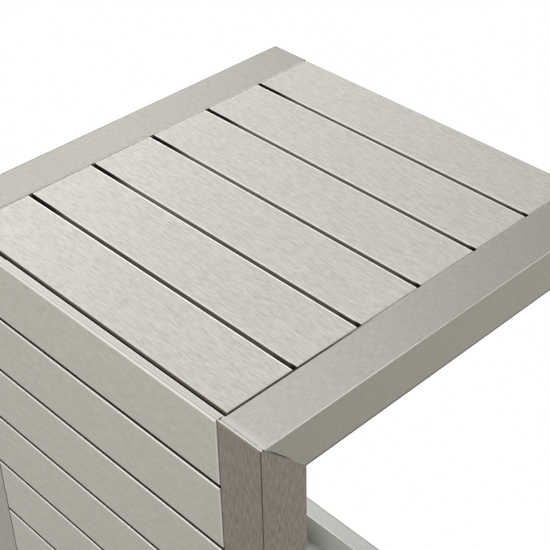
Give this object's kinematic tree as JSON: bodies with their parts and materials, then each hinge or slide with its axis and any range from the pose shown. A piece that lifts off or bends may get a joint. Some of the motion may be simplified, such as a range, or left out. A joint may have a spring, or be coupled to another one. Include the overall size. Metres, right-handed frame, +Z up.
{
  "type": "side table",
  "caption": "C-shaped patio side table of brushed aluminium: mitred square-tube frame, slatted top and slatted side panel, open on one side to slide over a seat.",
  "frame": {"origin": "on the floor, under the middle of the table's box", "axes": "+Z up, +X along the slats, +Y from the slatted panel to the open side"},
  "size_m": [0.376, 0.3776, 0.614],
  "materials": {
    "frame_tube": "brushed, champagne silver",
    "slat": "brushed along the slat",
    "angle_bar": "mill finish",
    "end_cap": "moulded, silver grey",
    "foot_glide": "moulded, dark grey",
    "screw": "plain stainless"
  },
  "bodies": {
    "root": {"floor_cross_rail": "frame_tube", "left_far_glide": "foot_glide", "left_floor_rail": "frame_tube", "left_floor_rail_cap": "end_cap", "left_near_glide": "foot_glide", "left_panel_ledge": "angle_bar", "left_post": "frame_tube", "left_top_ledge": "angle_bar", "left_top_rail": "frame_tube", "left_top_rail_cap": "end_cap", "panel_slat_1": "slat", "panel_slat_10": "slat", "panel_slat_2": "slat", "panel_slat_3": "slat", "panel_slat_4": "slat", "panel_slat_5": "slat", "panel_slat_6": "slat", "panel_slat_7": "slat", "panel_slat_8": "slat", "panel_slat_9": "slat", "panel_slat_screws": "screw", "right_far_glide": "foot_glide", "right_floor_rail": "frame_tube", "right_floor_rail_cap": "end_cap", "right_near_glide": "foot_glide", "right_panel_ledge": "angle_bar", "right_post": "frame_tube", "right_top_ledge": "angle_bar", "right_top_rail": "frame_tube", "right_top_rail_cap": "end_cap", "top_slat_1": "slat", "top_slat_2": "slat", "top_slat_3": "slat", "top_slat_4": "slat", "top_slat_5": "slat", "top_slat_6": "slat", "top_slat_screws": "screw"}
  },
  "joints": []
}
